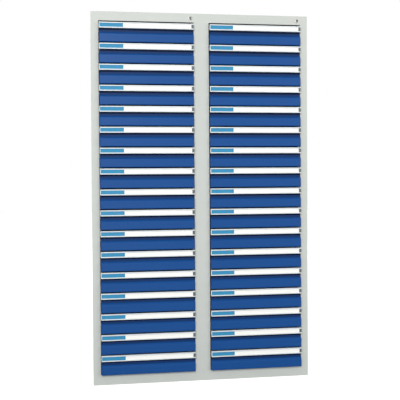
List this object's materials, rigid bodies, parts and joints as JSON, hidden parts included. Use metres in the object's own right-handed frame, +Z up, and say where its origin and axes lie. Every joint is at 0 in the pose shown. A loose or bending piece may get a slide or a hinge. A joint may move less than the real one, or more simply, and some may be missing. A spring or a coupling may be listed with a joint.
{
  "type": "drawer cabinet",
  "caption": "Tall two-bay steel parts cabinet with rows of shallow blue drawers, full-width label rails and a lock for each bay.",
  "frame": {"origin": "under the middle of the cabinet, on the floor", "axes": "+X to the right seen from the front, -Y out of the front, +Z up"},
  "size_m": [1.07, 0.622, 1.8],
  "materials": {
    "casing_paint": "satin",
    "drawer_paint": "satin",
    "galvanised_steel": "satin",
    "lock_chrome": "polished",
    "tray_paint": "satin",
    "handle_aluminium": "satin",
    "label_strip": "satin",
    "guide_plastic": "matte"
  },
  "bodies": {
    "cabinet": {"side_panel_left": "casing_paint", "side_panel_right": "casing_paint", "top_panel": "casing_paint", "base_panel": "casing_paint", "back_panel": "casing_paint", "centre_partition": "casing_paint", "frame_stile_left": "casing_paint", "frame_stile_right": "casing_paint", "frame_mullion": "casing_paint", "frame_top_rail": "casing_paint", "frame_bottom_rail": "casing_paint", "posts_left_bay": "galvanised_steel", "posts_right_bay": "galvanised_steel", "slide_rails_left_outer": "galvanised_steel", "slide_rails_left_inner": "galvanised_steel", "slide_rails_right_outer": "galvanised_steel", "slide_rails_right_inner": "galvanised_steel", "lock_barrels": "lock_chrome", "bar_guides_left": "guide_plastic", "bar_guides_right": "guide_plastic"},
    "lock_plug_left": {"lock_plug_left": "lock_chrome"},
    "locking_bar_left": {"locking_bar_left": "galvanised_steel"},
    "lock_plug_right": {"lock_plug_right": "lock_chrome"},
    "locking_bar_right": {"locking_bar_right": "galvanised_steel"},
    "drawer_left_01": {"drawer_left_01": "drawer_paint"},
    "drawer_left_02": {"drawer_left_02": "drawer_paint"},
    "drawer_left_03": {"drawer_left_03": "drawer_paint"},
    "drawer_left_04": {"drawer_left_04": "drawer_paint"},
    "drawer_left_05": {"drawer_left_05": "drawer_paint"},
    "drawer_left_06": {"drawer_left_06": "drawer_paint"},
    "drawer_left_07": {"drawer_left_07": "drawer_paint"},
    "drawer_left_08": {"drawer_left_08": "drawer_paint"},
    "drawer_left_09": {"drawer_left_09": "drawer_paint"},
    "drawer_left_10": {"drawer_left_10": "drawer_paint"},
    "drawer_left_11": {"drawer_left_11": "drawer_paint"},
    "drawer_left_12": {"drawer_left_12": "drawer_paint"},
    "drawer_left_13": {"drawer_left_13": "drawer_paint"},
    "drawer_left_14": {"drawer_left_14": "drawer_paint"},
    "drawer_left_15": {"drawer_left_15": "drawer_paint"},
    "drawer_left_16": {"drawer_left_16": "drawer_paint"},
    "drawer_left_17": {"drawer_left_17": "drawer_paint"},
    "drawer_right_01": {"drawer_right_01": "drawer_paint"},
    "drawer_right_02": {"drawer_right_02": "drawer_paint"},
    "drawer_right_03": {"drawer_right_03": "drawer_paint"},
    "drawer_right_04": {"drawer_right_04": "drawer_paint"},
    "drawer_right_05": {"drawer_right_05": "drawer_paint"},
    "drawer_right_06": {"drawer_right_06": "drawer_paint"},
    "drawer_right_07": {"drawer_right_07": "drawer_paint"},
    "drawer_right_08": {"drawer_right_08": "drawer_paint"},
    "drawer_right_09": {"drawer_right_09": "drawer_paint"},
    "drawer_right_10": {"drawer_right_10": "drawer_paint"},
    "drawer_right_11": {"drawer_right_11": "drawer_paint"},
    "drawer_right_12": {"drawer_right_12": "drawer_paint"},
    "drawer_right_13": {"drawer_right_13": "drawer_paint"},
    "drawer_right_14": {"drawer_right_14": "drawer_paint"},
    "drawer_right_15": {"drawer_right_15": "drawer_paint"},
    "drawer_right_16": {"drawer_right_16": "drawer_paint"},
    "drawer_right_17": {"drawer_right_17": "drawer_paint"}
  },
  "joints": [
    {"name": "lock_turn_left", "type": "hinge", "parent": "cabinet", "child": "lock_plug_left", "pos_m": [-0.052, -0.289, 1.777], "axis": [0, 1, 0], "range_deg": [0, 90]},
    {"name": "lock_turn_right", "type": "hinge", "parent": "cabinet", "child": "lock_plug_right", "pos_m": [0.484, -0.289, 1.777], "axis": [0, 1, 0], "range_deg": [0, 90]},
    {"name": "bar_lift_left", "type": "slide", "parent": "cabinet", "child": "locking_bar_left", "axis": [0, 0, 1], "range_m": [0, 0.01]},
    {"name": "bar_lift_right", "type": "slide", "parent": "cabinet", "child": "locking_bar_right", "axis": [0, 0, 1], "range_m": [0, 0.01]},
    {"name": "slide_left_01", "type": "slide", "parent": "cabinet", "child": "drawer_left_01", "axis": [0, -1, 0], "range_m": [0, 0.43]},
    {"name": "slide_left_02", "type": "slide", "parent": "cabinet", "child": "drawer_left_02", "axis": [0, -1, 0], "range_m": [0, 0.43]},
    {"name": "slide_left_03", "type": "slide", "parent": "cabinet", "child": "drawer_left_03", "axis": [0, -1, 0], "range_m": [0, 0.43]},
    {"name": "slide_left_04", "type": "slide", "parent": "cabinet", "child": "drawer_left_04", "axis": [0, -1, 0], "range_m": [0, 0.43]},
    {"name": "slide_left_05", "type": "slide", "parent": "cabinet", "child": "drawer_left_05", "axis": [0, -1, 0], "range_m": [0, 0.43]},
    {"name": "slide_left_06", "type": "slide", "parent": "cabinet", "child": "drawer_left_06", "axis": [0, -1, 0], "range_m": [0, 0.43]},
    {"name": "slide_left_07", "type": "slide", "parent": "cabinet", "child": "drawer_left_07", "axis": [0, -1, 0], "range_m": [0, 0.43]},
    {"name": "slide_left_08", "type": "slide", "parent": "cabinet", "child": "drawer_left_08", "axis": [0, -1, 0], "range_m": [0, 0.43]},
    {"name": "slide_left_09", "type": "slide", "parent": "cabinet", "child": "drawer_left_09", "axis": [0, -1, 0], "range_m": [0, 0.43]},
    {"name": "slide_left_10", "type": "slide", "parent": "cabinet", "child": "drawer_left_10", "axis": [0, -1, 0], "range_m": [0, 0.43]},
    {"name": "slide_left_11", "type": "slide", "parent": "cabinet", "child": "drawer_left_11", "axis": [0, -1, 0], "range_m": [0, 0.43]},
    {"name": "slide_left_12", "type": "slide", "parent": "cabinet", "child": "drawer_left_12", "axis": [0, -1, 0], "range_m": [0, 0.43]},
    {"name": "slide_left_13", "type": "slide", "parent": "cabinet", "child": "drawer_left_13", "axis": [0, -1, 0], "range_m": [0, 0.43]},
    {"name": "slide_left_14", "type": "slide", "parent": "cabinet", "child": "drawer_left_14", "axis": [0, -1, 0], "range_m": [0, 0.43]},
    {"name": "slide_left_15", "type": "slide", "parent": "cabinet", "child": "drawer_left_15", "axis": [0, -1, 0], "range_m": [0, 0.43]},
    {"name": "slide_left_16", "type": "slide", "parent": "cabinet", "child": "drawer_left_16", "axis": [0, -1, 0], "range_m": [0, 0.43]},
    {"name": "slide_left_17", "type": "slide", "parent": "cabinet", "child": "drawer_left_17", "axis": [0, -1, 0], "range_m": [0, 0.43]},
    {"name": "slide_right_01", "type": "slide", "parent": "cabinet", "child": "drawer_right_01", "axis": [0, -1, 0], "range_m": [0, 0.43]},
    {"name": "slide_right_02", "type": "slide", "parent": "cabinet", "child": "drawer_right_02", "axis": [0, -1, 0], "range_m": [0, 0.43]},
    {"name": "slide_right_03", "type": "slide", "parent": "cabinet", "child": "drawer_right_03", "axis": [0, -1, 0], "range_m": [0, 0.43]},
    {"name": "slide_right_04", "type": "slide", "parent": "cabinet", "child": "drawer_right_04", "axis": [0, -1, 0], "range_m": [0, 0.43]},
    {"name": "slide_right_05", "type": "slide", "parent": "cabinet", "child": "drawer_right_05", "axis": [0, -1, 0], "range_m": [0, 0.43]},
    {"name": "slide_right_06", "type": "slide", "parent": "cabinet", "child": "drawer_right_06", "axis": [0, -1, 0], "range_m": [0, 0.43]},
    {"name": "slide_right_07", "type": "slide", "parent": "cabinet", "child": "drawer_right_07", "axis": [0, -1, 0], "range_m": [0, 0.43]},
    {"name": "slide_right_08", "type": "slide", "parent": "cabinet", "child": "drawer_right_08", "axis": [0, -1, 0], "range_m": [0, 0.43]},
    {"name": "slide_right_09", "type": "slide", "parent": "cabinet", "child": "drawer_right_09", "axis": [0, -1, 0], "range_m": [0, 0.43]},
    {"name": "slide_right_10", "type": "slide", "parent": "cabinet", "child": "drawer_right_10", "axis": [0, -1, 0], "range_m": [0, 0.43]},
    {"name": "slide_right_11", "type": "slide", "parent": "cabinet", "child": "drawer_right_11", "axis": [0, -1, 0], "range_m": [0, 0.43]},
    {"name": "slide_right_12", "type": "slide", "parent": "cabinet", "child": "drawer_right_12", "axis": [0, -1, 0], "range_m": [0, 0.43]},
    {"name": "slide_right_13", "type": "slide", "parent": "cabinet", "child": "drawer_right_13", "axis": [0, -1, 0], "range_m": [0, 0.43]},
    {"name": "slide_right_14", "type": "slide", "parent": "cabinet", "child": "drawer_right_14", "axis": [0, -1, 0], "range_m": [0, 0.43]},
    {"name": "slide_right_15", "type": "slide", "parent": "cabinet", "child": "drawer_right_15", "axis": [0, -1, 0], "range_m": [0, 0.43]},
    {"name": "slide_right_16", "type": "slide", "parent": "cabinet", "child": "drawer_right_16", "axis": [0, -1, 0], "range_m": [0, 0.43]},
    {"name": "slide_right_17", "type": "slide", "parent": "cabinet", "child": "drawer_right_17", "axis": [0, -1, 0], "range_m": [0, 0.43]}
  ],
  "couplings": [
    {"joint": "lock_turn_left", "follows": "bar_lift_left", "rad_per_m": 157.08},
    {"joint": "lock_turn_right", "follows": "bar_lift_right", "rad_per_m": 157.08}
  ]
}
